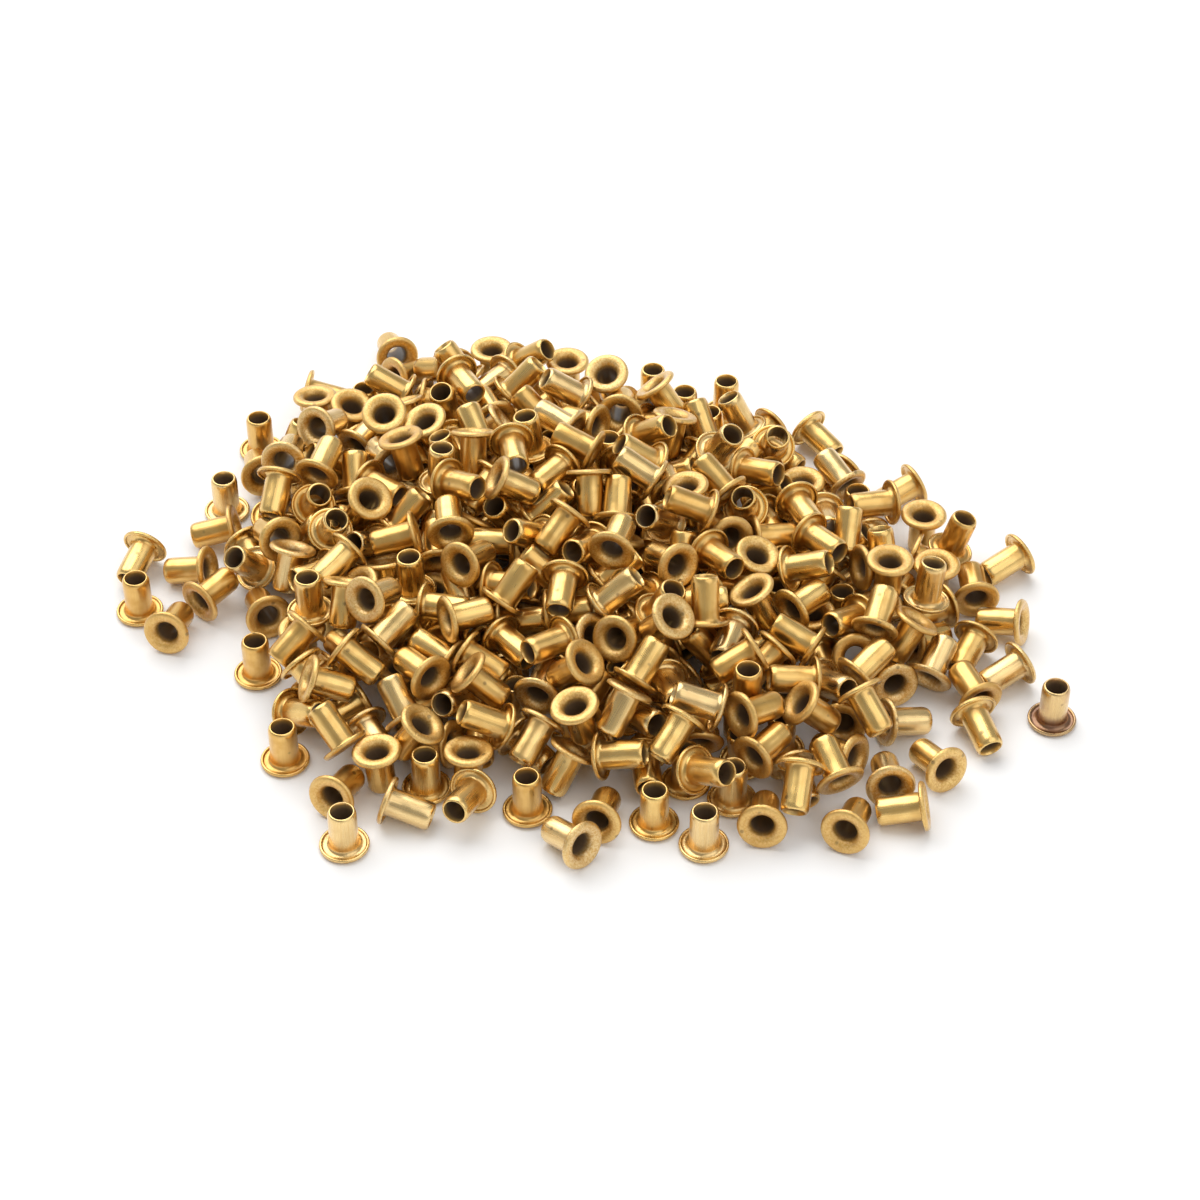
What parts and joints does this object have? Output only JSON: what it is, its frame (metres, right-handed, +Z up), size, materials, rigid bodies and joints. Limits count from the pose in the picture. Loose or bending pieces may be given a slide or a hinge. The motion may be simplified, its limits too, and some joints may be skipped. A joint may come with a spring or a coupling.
{
  "type": "heap of brass eyelets",
  "caption": "Poured heap of loose tubular brass eyelets, each a short barrel with a rounded mouth and a funnel-faced flange; the loose ones round the edge and on top lift off.",
  "frame": {"origin": "on the surface the heap lies on, under the middle of the heap's bounding box", "axes": "+Z up; +X along the heap's longest side, to the right as seen from its front; +Y to its back"},
  "size_m": [0.1046, 0.0872, 0.0156],
  "materials": {
    "brass": "satin drawn barrel, frosted flange face",
    "tarnished_brass": "browned satin"
  },
  "bodies": {
    "heap": {"floor_layer_mid_left": "brass", "floor_layer_front_left": "brass", "floor_layer_front_centre": "brass", "floor_layer_front_right": "brass", "floor_layer_mid_right": "brass", "floor_layer_back_right": "brass", "floor_layer_back_centre": "brass", "floor_layer_back_left": "brass", "floor_layer_mid_centre": "brass", "middle_layer_mid_centre": "brass", "middle_layer_back_centre": "brass", "top_layer_mid_centre": "brass", "middle_layer_mid_left": "brass", "middle_layer_front_centre": "brass", "middle_layer_mid_right": "brass", "top_layer_back_centre": "brass", "top_layer_mid_left": "brass", "top_layer_mid_right": "brass", "middle_layer_back_left": "brass", "top_layer_back_left": "brass", "middle_layer_front_right": "brass", "top_layer_front_right": "brass", "middle_layer_front_left": "brass", "top_layer_front_centre": "brass", "middle_layer_back_right": "brass", "top_layer_front_left": "brass", "top_layer_back_right": "brass"},
    "lone_tarnished_eyelet": {"lone_tarnished_eyelet": "tarnished_brass"},
    "front_left_lone_eyelet": {"front_left_lone_eyelet": "brass"},
    "left_standing_eyelet": {"left_standing_eyelet": "brass"},
    "left_facing_eyelet": {"left_facing_eyelet": "brass"},
    "left_lying_eyelet": {"left_lying_eyelet": "brass"},
    "left_tipped_eyelet": {"left_tipped_eyelet": "brass"},
    "left_inner_facing_eyelet": {"left_inner_facing_eyelet": "brass"},
    "left_front_standing_eyelet": {"left_front_standing_eyelet": "brass"},
    "front_left_standing_eyelet": {"front_left_standing_eyelet": "brass"},
    "front_left_lying_eyelet": {"front_left_lying_eyelet": "brass"},
    "front_flanged_eyelet": {"front_flanged_eyelet": "brass"},
    "front_facing_eyelet": {"front_facing_eyelet": "brass"},
    "front_standing_eyelet": {"front_standing_eyelet": "brass"},
    "front_foremost_eyelet": {"front_foremost_eyelet": "brass"},
    "front_right_facing_eyelet": {"front_right_facing_eyelet": "brass"},
    "front_right_turned_eyelet": {"front_right_turned_eyelet": "brass"},
    "front_right_lying_eyelet": {"front_right_lying_eyelet": "brass"},
    "right_front_facing_eyelet": {"right_front_facing_eyelet": "brass"},
    "right_tipped_eyelet": {"right_tipped_eyelet": "brass"},
    "right_lying_eyelet": {"right_lying_eyelet": "brass"},
    "back_right_lying_eyelet": {"back_right_lying_eyelet": "brass"},
    "back_standing_eyelet": {"back_standing_eyelet": "brass"},
    "back_left_lying_eyelet": {"back_left_lying_eyelet": "brass"},
    "left_back_standing_eyelet": {"left_back_standing_eyelet": "brass"},
    "crest_eyelet_1": {"crest_eyelet_1": "brass"},
    "crest_eyelet_2": {"crest_eyelet_2": "brass"},
    "crest_eyelet_3": {"crest_eyelet_3": "brass"},
    "crest_eyelet_4": {"crest_eyelet_4": "brass"},
    "crest_eyelet_5": {"crest_eyelet_5": "brass"},
    "crest_eyelet_6": {"crest_eyelet_6": "brass"}
  },
  "joints": [
    {"name": "lone_tarnished_eyelet_lift", "type": "slide", "parent": "heap", "child": "lone_tarnished_eyelet", "axis": [0, 0, 1], "range_m": [0, 0.02]},
    {"name": "front_left_lone_eyelet_lift", "type": "slide", "parent": "heap", "child": "front_left_lone_eyelet", "axis": [0, 0, 1], "range_m": [0, 0.02]},
    {"name": "left_standing_eyelet_lift", "type": "slide", "parent": "heap", "child": "left_standing_eyelet", "axis": [0, 0, 1], "range_m": [0, 0.02]},
    {"name": "left_facing_eyelet_lift", "type": "slide", "parent": "heap", "child": "left_facing_eyelet", "axis": [0, 0, 1], "range_m": [0, 0.02]},
    {"name": "left_lying_eyelet_lift", "type": "slide", "parent": "heap", "child": "left_lying_eyelet", "axis": [0, 0, 1], "range_m": [0, 0.02]},
    {"name": "left_tipped_eyelet_lift", "type": "slide", "parent": "heap", "child": "left_tipped_eyelet", "axis": [0, 0, 1], "range_m": [0, 0.02]},
    {"name": "left_inner_facing_eyelet_lift", "type": "slide", "parent": "heap", "child": "left_inner_facing_eyelet", "axis": [0, 0, 1], "range_m": [0, 0.02]},
    {"name": "left_front_standing_eyelet_lift", "type": "slide", "parent": "heap", "child": "left_front_standing_eyelet", "axis": [0, 0, 1], "range_m": [0, 0.02]},
    {"name": "front_left_standing_eyelet_lift", "type": "slide", "parent": "heap", "child": "front_left_standing_eyelet", "axis": [0, 0, 1], "range_m": [0, 0.02]},
    {"name": "front_left_lying_eyelet_lift", "type": "slide", "parent": "heap", "child": "front_left_lying_eyelet", "axis": [0, 0, 1], "range_m": [0, 0.02]},
    {"name": "front_flanged_eyelet_lift", "type": "slide", "parent": "heap", "child": "front_flanged_eyelet", "axis": [0, 0, 1], "range_m": [0, 0.02]},
    {"name": "front_facing_eyelet_lift", "type": "slide", "parent": "heap", "child": "front_facing_eyelet", "axis": [0, 0, 1], "range_m": [0, 0.02]},
    {"name": "front_standing_eyelet_lift", "type": "slide", "parent": "heap", "child": "front_standing_eyelet", "axis": [0, 0, 1], "range_m": [0, 0.02]},
    {"name": "front_foremost_eyelet_lift", "type": "slide", "parent": "heap", "child": "front_foremost_eyelet", "axis": [0, 0, 1], "range_m": [0, 0.02]},
    {"name": "front_right_facing_eyelet_lift", "type": "slide", "parent": "heap", "child": "front_right_facing_eyelet", "axis": [0, 0, 1], "range_m": [0, 0.02]},
    {"name": "front_right_turned_eyelet_lift", "type": "slide", "parent": "heap", "child": "front_right_turned_eyelet", "axis": [0, 0, 1], "range_m": [0, 0.02]},
    {"name": "front_right_lying_eyelet_lift", "type": "slide", "parent": "heap", "child": "front_right_lying_eyelet", "axis": [0, 0, 1], "range_m": [0, 0.02]},
    {"name": "right_front_facing_eyelet_lift", "type": "slide", "parent": "heap", "child": "right_front_facing_eyelet", "axis": [0, 0, 1], "range_m": [0, 0.02]},
    {"name": "right_tipped_eyelet_lift", "type": "slide", "parent": "heap", "child": "right_tipped_eyelet", "axis": [0, 0, 1], "range_m": [0, 0.02]},
    {"name": "right_lying_eyelet_lift", "type": "slide", "parent": "heap", "child": "right_lying_eyelet", "axis": [0, 0, 1], "range_m": [0, 0.02]},
    {"name": "back_right_lying_eyelet_lift", "type": "slide", "parent": "heap", "child": "back_right_lying_eyelet", "axis": [0, 0, 1], "range_m": [0, 0.02]},
    {"name": "back_standing_eyelet_lift", "type": "slide", "parent": "heap", "child": "back_standing_eyelet", "axis": [0, 0, 1], "range_m": [0, 0.02]},
    {"name": "back_left_lying_eyelet_lift", "type": "slide", "parent": "heap", "child": "back_left_lying_eyelet", "axis": [0, 0, 1], "range_m": [0, 0.02]},
    {"name": "left_back_standing_eyelet_lift", "type": "slide", "parent": "heap", "child": "left_back_standing_eyelet", "axis": [0, 0, 1], "range_m": [0, 0.02]},
    {"name": "crest_eyelet_1_lift", "type": "slide", "parent": "heap", "child": "crest_eyelet_1", "axis": [0, 0, 1], "range_m": [0, 0.02]},
    {"name": "crest_eyelet_2_lift", "type": "slide", "parent": "heap", "child": "crest_eyelet_2", "axis": [0, 0, 1], "range_m": [0, 0.02]},
    {"name": "crest_eyelet_3_lift", "type": "slide", "parent": "heap", "child": "crest_eyelet_3", "axis": [0, 0, 1], "range_m": [0, 0.02]},
    {"name": "crest_eyelet_4_lift", "type": "slide", "parent": "heap", "child": "crest_eyelet_4", "axis": [0, 0, 1], "range_m": [0, 0.02]},
    {"name": "crest_eyelet_5_lift", "type": "slide", "parent": "heap", "child": "crest_eyelet_5", "axis": [0, 0, 1], "range_m": [0, 0.02]},
    {"name": "crest_eyelet_6_lift", "type": "slide", "parent": "heap", "child": "crest_eyelet_6", "axis": [0, 0, 1], "range_m": [0, 0.02]}
  ]
}
